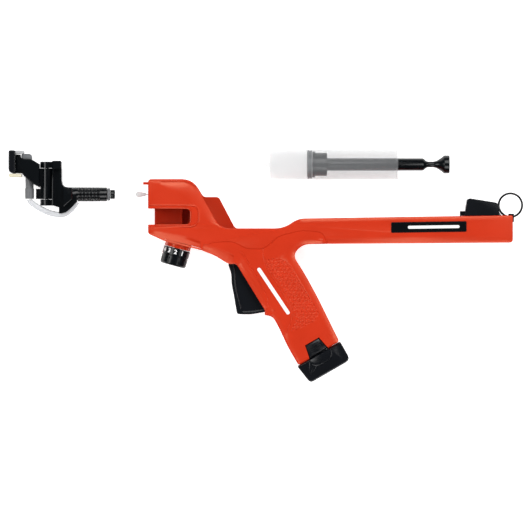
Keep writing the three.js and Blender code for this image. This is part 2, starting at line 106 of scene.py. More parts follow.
class Axis(Enum):
    """A turning axis and the side on which a profile is drawn."""

    X = (Vector((1, 0, 0)), Vector((0, 0, 1)))
    Y = (Vector((0, 1, 0)), Vector((0, 0, 1)))
    Z = (Vector((0, 0, 1)), Vector((1, 0, 0)))


# ---- finishes ------------------------------------------------------------------------------------
@dataclass(frozen=True)
class Finish:
    """A moulded, turned or foamed surface with fine grain and a slow wander of tone and gloss."""

    name: str
    colour: tuple[float, float, float]
    roughness: float = 0.35
    metallic: float = 0.0
    grain_mm: float = 0.5
    bump: float = 0.12
    tone: float = 0.06
    alpha: float = 1.0
    sheen: float = 0.0
    specular: float = 0.5
    glint: tuple[float, float, float] = (1.0, 1.0, 1.0)

    def material(self) -> bpy.types.Material:
        """The finish as a material, made once.

        Returns:
            The material, with its grain and tone read from Object coordinates.
        """
        if self.name in bpy.data.materials:
            return bpy.data.materials[self.name]
        material = bpy.data.materials.new(self.name)
        material.use_nodes = True
        tree = material.node_tree
        shader = tree.nodes["Principled BSDF"]
        shader.inputs["Metallic"].default_value = self.metallic
        shader.inputs["Alpha"].default_value = self.alpha
        shader.inputs["Specular IOR Level"].default_value = self.specular
        shader.inputs["Specular Tint"].default_value = (*self.glint, 1)
        shader.inputs["Sheen Weight"].default_value = self.sheen
        place = tree.nodes.new("ShaderNodeTexCoord")
        cloud = self._noise(tree, place, 1 / (35 * MM), 3)
        grain = self._noise(tree, place, 1 / (self.grain_mm * MM), 2)
        self._tint(tree, cloud, shader)
        self._gloss(tree, cloud, shader)
        relief = tree.nodes.new("ShaderNodeBump")
        relief.inputs["Strength"].default_value = self.bump
        relief.inputs["Distance"].default_value = 0.1 * MM
        tree.links.new(grain.outputs["Fac"], relief.inputs["Height"])
        tree.links.new(relief.outputs["Normal"], shader.inputs["Normal"])
        return material

    @staticmethod
    def _noise(tree: bpy.types.NodeTree, place: bpy.types.Node, scale: float,
               detail: float) -> bpy.types.Node:
        """A noise of so many cells a metre, on Object coordinates."""
        noise = tree.nodes.new("ShaderNodeTexNoise")
        noise.inputs["Scale"].default_value = scale
        noise.inputs["Detail"].default_value = detail
        tree.links.new(place.outputs["Object"], noise.inputs["Vector"])
        return noise

    def _tint(self, tree: bpy.types.NodeTree, cloud: bpy.types.Node, shader: bpy.types.Node) -> None:
        """Lets the colour wander a little lighter and darker."""
        ramp = tree.nodes.new("ShaderNodeValToRGB")
        for stop, side in zip(ramp.color_ramp.elements, (-1, 1)):
            stop.color = (*(min(1.0, c * (1 + side * self.tone)) for c in self.colour), 1)
        ramp.color_ramp.elements[0].position = 0.3
        ramp.color_ramp.elements[1].position = 0.7
        tree.links.new(cloud.outputs["Fac"], ramp.inputs["Fac"])
        tree.links.new(ramp.outputs["Color"], shader.inputs["Base Color"])

    def _gloss(self, tree: bpy.types.NodeTree, cloud: bpy.types.Node, shader: bpy.types.Node) -> None:
        """Lets the roughness wander a little, as handled plastic does."""
        spread = tree.nodes.new("ShaderNodeMapRange")
        spread.inputs["To Min"].default_value = self.roughness * 0.88
        spread.inputs["To Max"].default_value = self.roughness * 1.12
        tree.links.new(cloud.outputs["Fac"], spread.inputs["Value"])
        tree.links.new(spread.outputs["Result"], shader.inputs["Roughness"])


ORANGE = Finish("orange_abs", (0.57, 0.027, 0.006), 0.3, grain_mm=0.7, bump=0.05, tone=0.04, specular=0.6,
                glint=(1.0, 0.66, 0.42))
BLACK = Finish("black_abs", (0.001, 0.002, 0.003), 0.22, tone=0.2, grain_mm=0.6, bump=0.03, specular=0.3)
SATIN_BLACK = Finish("black_satin", (0.001, 0.002, 0.004), 0.26, tone=0.2, grain_mm=0.5, bump=0.04,
                     specular=0.35)
GREY = Finish("grey_nylon", (0.13, 0.135, 0.142), 0.42, tone=0.12)
PALE_GREY = Finish("pale_grey", (0.42, 0.425, 0.435), 0.4)
WHITE = Finish("white_soft", (0.62, 0.62, 0.62), 0.45)
INK = Finish("white_ink", (0.9, 0.9, 0.9), 0.55, tone=0.02, bump=0.03)
BARREL = Finish("cloudy_barrel", (0.38, 0.39, 0.4), 0.2, alpha=0.17, tone=0.04, bump=0.04)
HOSE = Finish("clear_hose", (0.66, 0.67, 0.7), 0.2, alpha=0.6, tone=0.05, bump=0.03)
STEEL = Finish("bright_steel", (0.6, 0.61, 0.63), 0.28, metallic=1.0, grain_mm=0.25)
BRASS = Finish("turned_brass", (0.66, 0.47, 0.2), 0.32, metallic=1.0)
BOARD = Finish("circuit_green", (0.012, 0.1, 0.045), 0.4)
FOAM = Finish("cream_foam", (0.74, 0.69, 0.52), 0.95, grain_mm=0.6, bump=0.8, tone=0.1, sheen=0.6)
WRAP = Finish("cell_wrap", (0.03, 0.16, 0.08), 0.3)

SLOT_FINISH = {
    "orange_housing": ORANGE,
    "black_plastic": BLACK,
    "grey_plastic": GREY,
    "white_plastic": WHITE,
    "clear_plastic": BARREL,
    "bright_steel": STEEL,
    "bearing_brass": BRASS,
    "circuit_board": BOARD,
    "paint_pad": FOAM,
    "cell_wrap": WRAP,
}


# ---- making and dressing pieces ------------------------------------------------------------------
def object_from(bm: bmesh.types.BMesh, name: str) -> bpy.types.Object:
    """Closes a bmesh into a new object in the scene.

    Args:
        bm: The shape, freed here.
        name: The piece's name.

    Returns:
        The object, at the origin.
    """
    mesh = bpy.data.meshes.new(name)
    bm.to_mesh(mesh)
    bm.free()
    piece = bpy.data.objects.new(name, mesh)
    bpy.context.scene.collection.objects.link(piece)
    return piece


def shade(piece: bpy.types.Object, degrees: float = 32) -> None:
    """Shades a piece smooth, but sharp across steeper edges."""
    mesh = piece.data
    mesh.polygons.foreach_set("use_smooth", [True] * len(mesh.polygons))
    mesh.set_sharp_from_angle(angle=math.radians(degrees))


def ease(piece: bpy.types.Object, width_mm: float, segments: int = 2) -> None:
    """Rounds a piece's edges with a live bevel."""
    bevel = piece.modifiers.new("eased_edges", "BEVEL")
    bevel.width = width_mm * MM
    bevel.segments = segments
    bevel.limit_method = "ANGLE"
    bevel.angle_limit = math.radians(32)
    bevel.harden_normals = True
    bevel.use_clamp_overlap = True


def baked(piece: bpy.types.Object) -> bpy.types.Object:
    """Applies a piece's modifiers to its mesh."""
    bpy.context.view_layer.update()
    graph = bpy.context.evaluated_depsgraph_get()
    mesh = bpy.data.meshes.new_from_object(piece.evaluated_get(graph))
    piece.modifiers.clear()
    piece.data = mesh
    return piece


def volume_of(piece: bpy.types.Object) -> float:
    """The volume that a piece's mesh encloses."""
    bm = bmesh.new()
    bm.from_mesh(piece.data)
    volume = abs(bm.calc_volume())
    bm.free()
    return volume


def cut(piece: bpy.types.Object, tool: bpy.types.Object, operation: str = "DIFFERENCE") -> None:
    """Cuts a piece with a tool, joins them or keeps what they share, and removes the tool.

    Args:
        piece: The piece to change.
        tool: The closed solid to change it with.
        operation: The boolean's name.

    Raises:
        RuntimeError: When the boolean has lost most of the piece, as a crossed tool makes it do.
    """
    before = volume_of(piece)
    boolean = piece.modifiers.new("cut", "BOOLEAN")
    boolean.object = tool
    boolean.operation = operation
    boolean.solver = "EXACT"
    baked(piece)
    kept = 0.0 if operation == "INTERSECT" else LEAST_KEPT * before
    if volume_of(piece) <= kept:
        raise RuntimeError(f"{tool.name} has lost {piece.name}")
    bpy.data.objects.remove(tool, do_unlink=True)


def dress(
    piece: bpy.types.Object,
    body: str,
    finish: Finish,
    nodes: Iterable[str] = (),
) -> bpy.types.Object:
    """Gives a piece its finish and its body, hides the nodes that it stands for, and reports it.

    Args:
        piece: The finished piece.
        body: The body that it moves with.
        finish: Its finish.
        nodes: The frame's nodes that it stands for.

    Returns:
        The piece.
    """
    piece.data.materials.clear()
    piece.data.materials.append(finish.material())
    for polygon in piece.data.polygons:
        polygon.material_index = 0
    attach(piece, body)
    names = list(nodes)
    if names:
        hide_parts(*names)
    LOG.info("%s on %s, %d faces", piece.name, body, len(piece.data.polygons))
    return piece


def turned(
    name: str, profile: Sequence[Point], axis: Axis, centre: Vector, steps: int = 72
) -> bpy.types.Object:
    """Turns a profile of (radius, height) pairs, in millimetres, about an axis.

    Args:
        name: The piece's name.
        profile: Its points, which start and end on the axis or else close on themselves.
        axis: The axis to turn about.
        centre: Where the heights start.
        steps: How many flats make the full turn.

    Returns:
        The turned piece, closed, with its faces outwards.
    """
    along, side = axis.value
    bm = bmesh.new()
    verts = [bm.verts.new(centre + along * h * MM + side * r * MM) for r, h in profile]
    ring = list(zip(verts, verts[1:]))
    if profile[0][0] > 0:
        ring.append((verts[-1], verts[0]))
    for start, end in ring:
        bm.edges.new((start, end))
    bmesh.ops.spin(
        bm, geom=bm.verts[:] + bm.edges[:], cent=centre, axis=along, angle=math.tau, steps=steps,
        use_merge=True
    )
    bmesh.ops.remove_doubles(bm, verts=bm.verts[:], dist=1e-6)
    bmesh.ops.recalc_face_normals(bm, faces=bm.faces[:])
    return object_from(bm, name)


def prism(name: str, outline: Sequence[Vector], rise: float) -> bpy.types.Object:
    """Raises a flat outline along Z by so many metres."""
    bm = bmesh.new()
    face = bm.faces.new([bm.verts.new(p) for p in outline])
    raised = bmesh.ops.extrude_face_region(bm, geom=[face])
    moved = [v for v in raised["geom"] if isinstance(v, bmesh.types.BMVert)]
    bmesh.ops.translate(bm, verts=moved, vec=(0, 0, rise))
    bmesh.ops.recalc_face_normals(bm, faces=bm.faces[:])
    return object_from(bm, name)


def swept(name: str, route: Sequence[Vector], radius_mm: float, smooth: bool = True) -> bpy.types.Object:
    """A round section along a route, as a mesh with closed ends."""
    line = bpy.data.curves.new(name, "CURVE")
    line.dimensions = "3D"
    line.bevel_depth = radius_mm * MM
    line.bevel_resolution = 4
    line.use_fill_caps = True
    line.resolution_u = 8
    spline = line.splines.new("NURBS" if smooth else "POLY")
    spline.points.add(len(route) - 1)
    for point, place in zip(spline.points, route):
        point.co = (*place, 1)
    if smooth:
        spline.order_u = 4
        spline.use_endpoint_u = True
    holder = bpy.data.objects.new(name, line)
    bpy.context.scene.collection.objects.link(holder)
    bpy.context.view_layer.update()
    mesh = bpy.data.meshes.new_from_object(holder.evaluated_get(bpy.context.evaluated_depsgraph_get()))
    bpy.data.objects.remove(holder, do_unlink=True)
    bm = bmesh.new()
    bm.from_mesh(mesh)
    bmesh.ops.remove_doubles(bm, verts=bm.verts[:], dist=1e-6)
    bmesh.ops.recalc_face_normals(bm, faces=bm.faces[:])
    piece = object_from(bm, name)
    shade(piece, 60)
    return piece


@dataclass(frozen=True)
class Crown:
    """A stretch of a flat side that falls away towards its rim, as a moulding's soft edge does."""

    face_mm: float
    drop_mm: float
    stations: tuple[tuple[Point, Point], ...]
    power: float = 2.0

    def tool(self, datum: Datum, side: int, steps: int = 6) -> bpy.types.Object:
        """The solid to cut away.

        Args:
            datum: The drawing's zero.
            side: 1 for the left side, -1 for the right.
            steps: How many flats the fall has.

        Returns:
            A closed solid lofted through the stations, each an inner and an outer point.
        """
        bm = bmesh.new()
        sections = []
        for inner, outer in self.stations:
            section = []
            for i in range(steps + 1):
                t = i / steps
                x, y = (a + (b - a) * t for a, b in zip(inner, outer))
                z = self.face_mm + 0.03 - self.drop_mm * t ** self.power
                section.append(bm.verts.new(datum.at(x, y, side * z)))
            for x, y in (outer, inner):
                section.append(bm.verts.new(datum.at(x, y, side * (self.face_mm + 2))))
            sections.append(section)
        for near, far in zip(sections, sections[1:]):
            for i, vert in enumerate(near):
                j = (i + 1) % len(near)
                bm.faces.new((vert, near[j], far[j], far[i]))
        bm.faces.new(sections[0])
        bm.faces.new(sections[-1])
        bmesh.ops.recalc_face_normals(bm, faces=bm.faces[:])
        return object_from(bm, "crown_tool")


def ribs_on(piece: bpy.types.Object, boxes: Iterable[tuple[Matrix, Vector]], soften_mm: float) -> None:
    """Adds small rounded ribs to a piece, each a unit cube scaled to a size and placed by a matrix."""
    bm = bmesh.new()
    bm.from_mesh(piece.data)
    for place, size in boxes:
        made = bmesh.ops.create_cube(bm, size=1.0, matrix=place @ Matrix.Diagonal((*size, 1)))
        edges = {e for v in made["verts"] for e in v.link_edges}
        bmesh.ops.bevel(bm, geom=list(edges), offset=soften_mm * MM, segments=2, profile=0.5,
                        affect="EDGES", material=-1, clamp_overlap=True)
    bm.to_mesh(piece.data)
    bm.free()


class Kit:
    """What every sub-assembly needs: the frame, the datum, and how to refine a frame node."""

    def __init__(self, frame: dict, datum: Datum) -> None:
        """Keeps the frame and works out which body and slot each node has."""
        self.frame = frame
        self.datum = datum
        record = frame["record"]
        self.body_of = {n: b for b, ns in record["behaviour"]["bodies"].items() for n in ns}
        self.slot_of = {s["node"]: s["material_slot"] for s in record["subparts"]}
        self.done: set[str] = set()

    def copy(self, node: str) -> bpy.types.Object:
        """A merged copy of a node's mesh, its coplanar faces joined."""
        bm = bmesh.new()
        bm.from_mesh(self.frame["nodes"][node].data)
        bmesh.ops.remove_doubles(bm, verts=bm.verts[:], dist=2e-6)
        bmesh.ops.dissolve_limit(bm, angle_limit=math.radians(0.6), verts=bm.verts[:], edges=bm.edges[:])
        return object_from(bm, f"{node}_finished")

    def settle(
        self, piece: bpy.types.Object, node: str, finish: Finish | None = None, edge_mm: float = 0.0
    ) -> bpy.types.Object:
        """Shades, eases and dresses a piece that stands for a node.

        Args:
            piece: The piece.
            node: The node that it stands for.
            finish: Its finish, or the slot's own.
            edge_mm: How far its edges are rounded.

        Returns:
            The piece.
        """
        shade(piece)
        if edge_mm:
            ease(piece, edge_mm)
        slot = self.slot_of[node]
        self.done.add(node)
        return dress(piece, self.body_of[node], finish or SLOT_FINISH[slot], [node])

    def detail(self, piece: bpy.types.Object, like: str, finish: Finish, slot: str) -> bpy.types.Object:
        """Dresses an added piece that moves with another node's body."""
        return dress(piece, self.body_of[like], finish)

    def refine_rest(self, edge_mm: float = 0.25) -> None:
        """Refines every node that no sub-assembly has taken."""
        for node in sorted(set(self.frame["nodes"]) - self.done):
            self.settle(self.copy(node), node, edge_mm=edge_mm)


# ---- the gun -------------------------------------------------------------------------------------
@dataclass
class Shells:
    """The two orange shells, their grooves, their dimpled grip panels and the white stripe."""

    kit: Kit
    side_mm: float = 21.0
    pocket_mm: float = 1.5
    dimple_pitch_mm: float = 4.6
    dimple_r_mm: float = 1.75
    dimple_depth_mm: float = 1.1
    grid_mm: float = 0.42

    panel = [
        (134.6, -49.6), (143, -48.4), (151.8, -48.2), (158.8, -51.6), (164.7, -57.5), (172, -71),
        (182.3, -88),
        (193, -105), (196.6, -112), (194.1, -118.6), (176.4, -128), (164.2, -131.4), (169.2, -118.6),
        (168.4, -112.2),
        (164.7, -102.1), (153, -79.8), (141.2, -64.6), (135.6, -55.2),
    ]
    grooves = [
        [(106, -40.5), (109.6, -43.5), (120.5, -61.5), (130.9, -81.1), (137.1, -92.2), (138.4, -97.5),
         (136.6, -102)],
        [(132.2, -35), (131.4, -42), (132.6, -52), (139, -65.6), (150.6, -80.8), (162, -103),
         (166.2, -112),
         (165.4, -119), (156.5, -137.5)],
    ]

    bead = [(1.2, 13.2), (26, 13.2), (50, 13.2), (54.4, 12), (57.6, 9), (58.7, 5), (58.7, -3),
            (57.4, -7.4), (54, -10.4),
            (49.5, -11.6), (26, -12.4), (1.2, -13.2)]
    lip = [(8.4, 9.7), (26, 9.7), (44, 9.7), (47.2, 8.8), (49, 6.4), (49.2, 4), (49.2, -5), (48.8, -7.4),
           (46.6, -9.4),
           (43, -10), (26, -10), (8.4, -10)]

    crowns = (
        Crown(22, 3.2, (((-1, -15.5), (-1, -21.5)), ((10, -16.2), (10, -27.4)),
                        ((22, -17.4), (22, -31.4)),
                        ((40, -20.5), (40, -36)), ((60, -27.6), (61, -41))), 1.15),
        Crown(21, 2.4, (((64, -31.5), (62, -41.5)), ((76, -33.5), (74.5, -46.5)),
                        ((88, -37.5), (85, -52.5)),
                        ((99, -44), (97, -57))), 1.3),
        Crown(21, 1.6, (((110, -51.5), (101.5, -56.6)), ((118, -66), (110.5, -70.6)),
                        ((127, -81), (119.6, -85.4)),
                        ((135, -94), (127.8, -98.6)), ((140, -103), (132.6, -107.6)))),
        Crown(21, 1.8, (((144, -107), (142, -116.4)), ((154, -118.6), (146.4, -123.2)),
                        ((158.5, -130), (150.8, -133.4)),
                        ((167, -147.6), (159.2, -151.6)), ((177.5, -168), (170.4, -172)))),
        Crown(21, 2.2, (((201, -24.8), (200, -33)), ((190, -24.8), (189, -33.2)),
                        ((179, -25), (179, -33.4)),
                        ((169, -28), (173, -38)), ((161.5, -36.5), (170, -41.5)),
                        ((159.5, -46), (169.5, -46.5)),
                        ((163, -55), (172.5, -51)), ((172, -69), (181.5, -64.4)),
                        ((181.5, -86), (190.6, -81.6)),
                        ((189, -100), (198.4, -96)), ((196, -114), (205, -109.8)),
                        ((203, -128), (212, -123.6)),
                        ((212, -147), (221, -142.6)))),
        Crown(22, 2.4, (((206, -23.5), (206, -33)), ((300, -22.5), (300, -32.5)),
                        ((419.6, -21.5), (419.6, -31))), 1.3),
        Crown(22, 1.2, (((176, -8), (174, -0.5)), ((300, -5.5), (300, 1)),
                        ((419.6, -4.5), (419.6, 2.4)))),
    )
    cheek_crowns = (
        Crown(22, 1.6, (((-1, 39.4), (-1, 43.2)), ((40, 39.4), (42, 43.2))), 1.0),
        Crown(22, 1.8, (((14, 36), (14, 40)), ((28, 27), (42, 40)), ((38, 22), (50, 38)),
                        ((47, 16), (60.5, 30)),
                        ((54, 8), (66.6, 18)), ((62, -1), (72.6, 6.4)), ((70.5, -9), (79, -3.6)),
                        ((82, -13), (86, -9)), ((94, -13.8), (95, -12.6)))),
    )

    def build(self) -> None:
        """Makes both shells and what is moulded into them."""
        for node, side in (("left_shell", 1), ("right_shell", -1)):
            piece = self.kit.copy(node)
            face = side * self.side_mm
            for crown in self.crowns + (self.cheek_crowns if side > 0 else ()):
                cut(piece, crown.tool(self.kit.datum, side))
            if side > 0:
                self.build_surround(piece)
            for i, groove in enumerate(self.grooves):
                route = [self.kit.datum.at(x, y, face + side * 0.15) for x, y in groove]
                cut(piece, swept(f"groove_{i}", route, 0.65))
            cut(piece, self.panel_prism(face - side * self.pocket_mm, side * 3 * self.pocket_mm))
            self.kit.settle(piece, node, edge_mm=0.6)
            self.build_panel(node, side)
        self.build_stripe()

    def build_surround(self, shell: bpy.types.Object) -> None:
        """A fine raised bead round the nose's window and a soft lip on its edge."""
        for name, route, radius in (("window_bead", self.bead, 1.1), ("window_lip", self.lip, 0.9)):
            points = [self.kit.datum.at(x, y, 22.35 - radius) for x, y in route]
            cut(shell, swept(name, points, radius), "UNION")

    def panel_prism(self, z_mm: float, rise_mm: float) -> bpy.types.Object:
        """The grip panel's outline raised from a height."""
        return prism("panel_tool", [self.kit.datum.at(x, y, z_mm) for x, y in self.panel], rise_mm * MM)

    def build_panel(self, node: str, side: int) -> None:
        """A dimpled inlay that fills the panel's pocket."""
        xs, ys = zip(*self.panel)
        low, high = self.kit.datum.at(min(xs), min(ys)), self.kit.datum.at(max(xs), max(ys))
        middle, size = (low + high) / 2, (high - low) * 1.02
        top = self.kit.datum.at(0, 0, side * (self.side_mm - 0.1)).z
        bm = bmesh.new()
        bmesh.ops.create_grid(bm, x_segments=round(size.x / (self.grid_mm * MM)),
                              y_segments=round(size.y / (self.grid_mm * MM)), size=0.5)
        bmesh.ops.scale(bm, vec=(size.x, size.y, 1), verts=bm.verts[:])
        bmesh.ops.translate(bm, vec=(middle.x, middle.y, top), verts=bm.verts[:])
        for vert in bm.verts:
            vert.co.z -= side * self.dimple(vert.co - middle) * MM
        raised = bmesh.ops.extrude_face_region(bm, geom=bm.faces[:])
        lower = [v for v in raised["geom"] if isinstance(v, bmesh.types.BMVert)]
        bmesh.ops.translate(bm, vec=(0, 0, -side * 2.2 * MM), verts=lower)
        bmesh.ops.recalc_face_normals(bm, faces=bm.faces[:])
        inlay = object_from(bm, f"grip_panel_{'left' if side > 0 else 'right'}")
        cut(inlay, self.panel_prism(side * (self.side_mm - self.pocket_mm), side * 3), "INTERSECT")
        shade(inlay, 50)
        self.kit.detail(inlay, node, ORANGE, "orange_housing")

    def dimple(self, offset: Vector) -> float:
        """How deep, in millimetres, the staggered dimples are at an offset from the panel's middle."""
        pitch = self.dimple_pitch_mm * MM
        row_height = pitch * math.sqrt(3) / 2
        row = round(offset.y / row_height)
        shift = (row % 2) * pitch / 2
        column = round((offset.x - shift) / pitch)
        reach = math.hypot(offset.x - shift - column * pitch,
                           offset.y - row * row_height) / (self.dimple_r_mm * MM)
        return self.dimple_depth_mm * (0.5 + 0.5 * math.cos(math.pi * reach)) if reach < 1 else 0.0

    def build_stripe(self) -> None:
        """A plain white stripe down the near side of the grip."""
        start, end = self.kit.datum.at(127.5, -61, self.side_mm), self.kit.datum.at(160.6, -110.5,
                                                                                    self.side_mm)
        stripe = rounded_bar("grip_stripe", start, end, 4.2, 0.16)
        self.kit.detail(stripe, "left_shell", INK, "white_plastic")


def rounded_bar(name: str, start: Vector, end: Vector, width_mm: float,
                rise_mm: float) -> bpy.types.Object:
    """A thin flat bar with round ends between two points on a level face."""
    along = (end - start).normalized()
    across = Vector((-along.y, along.x, 0))
    r = width_mm * MM / 2
    angles = [math.pi * (i / 12 - 0.5) for i in range(13)]
    rim = [end + (along * math.cos(a) + across * math.sin(a)) * r for a in angles]
    rim += [start - (along * math.cos(a) + across * math.sin(a)) * r for a in angles]
    bar = prism(name, rim, rise_mm * MM)
    shade(bar)
    return bar


@dataclass
class Controls:
    """The speed dial with its figures, the trigger, the badge and the battery's latches."""

    kit: Kit
    dial_at: Point = (33.2, -36.9)
    dial_tilt: float = math.radians(-15.5)
    band_r_mm: float = 15.5
    grip_at: Point = (196, -157)
    grip_tilt: float = math.radians(30)
    rim_z_mm: float = 20.9

    trigger_lines = [
        [(97, -53), (99.2, -60), (99.6, -66), (99.4, -78), (101.8, -90), (104.6, -100), (106.4, -106)],
        [(108, -109.4), (117, -110), (126, -108.8), (134, -106.6)],
    ]
    battery_rim = [(-13.6, -2.4), (-13.2, -7), (-10.8, -11), (-6, -12.4), (6, -12.4), (10.8, -11),
                   (13.2, -7),
                   (13.6, -2.4)]

    def build(self) -> None:
        """Makes each control."""
        self.build_dial()
        self.build_figures()
        self.build_latches()
        self.build_badge()
        self.build_trigger()
        self.build_battery()

    def on_dial(self, piece: bpy.types.Object) -> bpy.types.Object:
        """Moves a piece drawn upright at the scene's zero on to the dial's axis."""
        place = Matrix.Translation(self.kit.datum.at(*self.dial_at)) @ Matrix.Rotation(self.dial_tilt, 4,
                                                                                       "Z")
        piece.data.transform(place)
        return piece

    def build_dial(self) -> None:
        """The knob with its fluted grip, and the orange collar above it with its ribs."""
        profile = [(0, -20.2), (12.6, -20.2), (14.2, -19.6), (15.1, -18.2), (15.2, -9.6), (14.8, -9),
                   (14.8, -8.6),
                   (15.5, -8.2), (15.5, -0.6), (15.1, 0), (3.4, 0), (3.4, -9), (0, -9)]
        knob = turned("speed_dial_finished", profile, Axis.Y, Vector(), 96)
        flutes = []
        for i in range(8):
            turn = Matrix.Rotation(math.tau * (i + 0.5) / 8, 4, "Y")
            flutes.append((turn @ Matrix.Translation(Vector((14.75, -14.2, 0)) * MM),
                           Vector((1.4, 6.6, 1.2)) * MM))
        ribs_on(knob, flutes, 0.35)
        self.kit.settle(self.on_dial(knob), "speed_dial", BLACK)
        collar = turned("dial_collar_finished", [(3.4, 0.3), (14, 0.3), (14.4, 0.8), (14.4, 10.3),
                                                 (3.4, 10.3)], Axis.Y,
                        Vector(), 72)
        ribs = []
        for i in range(10):
            turn = Matrix.Rotation(math.tau * i / 10, 4, "Y")
            ribs.append((turn @ Matrix.Translation(Vector((13.9, 4.6, 0)) * MM),
                         Vector((2.2, 8.4, 4.2)) * MM))
        ribs_on(collar, ribs, 0.7)
        self.kit.settle(self.on_dial(collar), "dial_collar", ORANGE)

    def build_figures(self) -> None:
        """The white figures 1 to 4 round the dial's band."""
        for figure, degrees in zip("4321", (-58, -31, -2, 28)):
            line = bpy.data.curves.new(f"figure_{figure}", "FONT")
            line.body = figure
            line.size = 6.9 * MM
            line.align_x = "CENTER"
            line.align_y = "CENTER"
            line.extrude = 0.12 * MM
            line.offset = 0.2 * MM
            holder = bpy.data.objects.new(line.name, line)
            bpy.context.scene.collection.objects.link(holder)
            bpy.context.view_layer.update()
            graph = bpy.context.evaluated_depsgraph_get()
            mesh = bpy.data.meshes.new_from_object(holder.evaluated_get(graph))
            bpy.data.objects.remove(holder, do_unlink=True)
            bm = bmesh.new()
            bm.from_mesh(mesh)
            bmesh.ops.remove_doubles(bm, verts=bm.verts[:], dist=1e-6)
            figure_piece = object_from(bm, f"dial_figure_{figure}")
            self.wrap(figure_piece.data, math.radians(degrees))
            self.kit.detail(self.on_dial(figure_piece), "speed_dial", INK, "white_plastic")

    def wrap(self, mesh: bpy.types.Mesh, angle: float) -> None:
        """Bends a flat figure round the dial's band at an angle from the upper side."""
        radius = (self.band_r_mm + 0.02) * MM
        for vert in mesh.vertices:
            turn = angle + vert.co.x / radius
            reach = radius + vert.co.z
            vert.co = Vector((math.sin(turn) * reach, vert.co.y - 4.4 * MM, math.cos(turn) * reach))

    def build_latches(self) -> None:
        """The battery's two ribbed latch buttons."""
        place = Matrix.Translation(self.kit.datum.at(*self.grip_at)) @ Matrix.Rotation(self.grip_tilt, 4,
                                                                                       "Z")
        for node, side in (("latch_left", 1), ("latch_right", -1)):
            latch = self.kit.copy(node)
            shade(latch)
            ease(latch, 0.5)
            baked(latch)
            height = side * (22 if side > 0 else 21.5)
            ribs = []
            for i in range(5):
                spot = Vector((0, 3.4 + i * 2.2, height - side * 0.1)) * MM
                ribs.append((place @ Matrix.Translation(spot), Vector((14.4 - i * 0.5, 1.0, 0.9)) * MM))
            ribs_on(latch, ribs, 0.3)
            self.kit.settle(latch, node, SATIN_BLACK)

    def build_trigger(self) -> None:
        """The trigger's blade with a soft ridge down its finger edge and along its foot."""
        trigger = self.kit.copy("trigger")
        for side in (1, -1):
            for i, line in enumerate(self.trigger_lines):
                cut(trigger, swept(f"ridge_{i}", [self.kit.datum.at(x, y, side * 8.2) for x, y in line],
                                   1.3), "UNION")
        self.kit.settle(trigger, "trigger", SATIN_BLACK, 0.9)

    def build_battery(self) -> None:
        """The battery's case with the raised rim that frames its near latch."""
        case = self.kit.copy("battery_case")
        place = Matrix.Translation(self.kit.datum.at(*self.grip_at)) @ Matrix.Rotation(self.grip_tilt, 4,
                                                                                       "Z")
        rim = [place @ (Vector((x, y, self.rim_z_mm)) * MM) for x, y in self.battery_rim]
        cut(case, swept("battery_rim", rim, 1.2), "UNION")
        self.kit.settle(case, "battery_case", SATIN_BLACK, 0.9)

    def build_badge(self) -> None:
        """The black badge plate with a plain white bar."""
        self.kit.settle(self.kit.copy("badge_plate"), "badge_plate", BLACK, 0.3)
        top = 22.3
        bar = rounded_bar("badge_bar", self.kit.datum.at(300, -12.5, top),
                          self.kit.datum.at(356, -11.7, top), 3.4, 0.12)
        self.kit.detail(bar, "badge_plate", INK, "white_plastic")


@dataclass
class Pusher:
    """The carriage, its ring, and the threaded screw that drives it."""

    kit: Kit
    thread_pitch_mm: float = 2.0
    screw_y: float = -24.9

    def build(self) -> None:
        """Makes the carriage, the ring and the thread."""
        self.kit.settle(self.kit.copy("pusher_carriage"), "pusher_carriage", SATIN_BLACK, 0.7)
        ring = [(13.5 + 1.25 * math.cos(a),
                 1.25 * math.sin(a)) for a in (math.tau * i / 16 for i in range(16))]
        self.kit.settle(turned("pull_ring_finished", ring, Axis.Z, self.kit.datum.at(416.8, 13.1), 72),
                        "pull_ring")
        self.build_thread()

    def build_thread(self) -> None:
        """The screw's core and its raised thread."""
        core = [(0, 151), (1.7, 151), (1.7, 414.5), (0, 414.5)]
        self.kit.settle(turned("lead_screw_finished", core, Axis.X, self.kit.datum.at(0, self.screw_y),
                               24), "lead_screw")
        turns = (410 - 168) / self.thread_pitch_mm
        count = round(turns * 10)
        route = []
        for i in range(count + 1):
            angle = i / 10 * math.tau
            x = 168 + i / 10 * self.thread_pitch_mm
            route.append(self.kit.datum.at(x, self.screw_y + 1.65 * math.cos(angle),
                                           1.65 * math.sin(angle)))
        thread = swept("screw_thread", route, 0.3, smooth=False)
        self.kit.detail(thread, "lead_screw", STEEL, "bright_steel")


@dataclass
class Nose:
    """The shut-off needle in the gun's nose."""

    kit: Kit
    axis_y: float = 25.5

    def build(self) -> None:
        """Makes the needle's stem and its soft tip."""
        centre = self.kit.datum.at(0, self.axis_y)
        bulb = [(0, -14.6), (1.3, -14.4), (2.3, -13.7), (3.0, -12.3), (3.2, -10.6), (3.0, -8.6),
                (2.5, -6.6), (2.2, -4.8),
                (2.1, -3), (0.95, -3), (0.95, -11.4), (0, -11.4)]
        self.kit.settle(turned("needle_tip_finished", bulb, Axis.X, centre, 48), "needle_tip", WHITE)
        stem = [(0, -11.1), (0.65, -11.1), (0.65, 45), (0, 45)]
        self.kit.settle(turned("needle_stem_finished", stem, Axis.X, centre, 24), "needle_stem", STEEL)


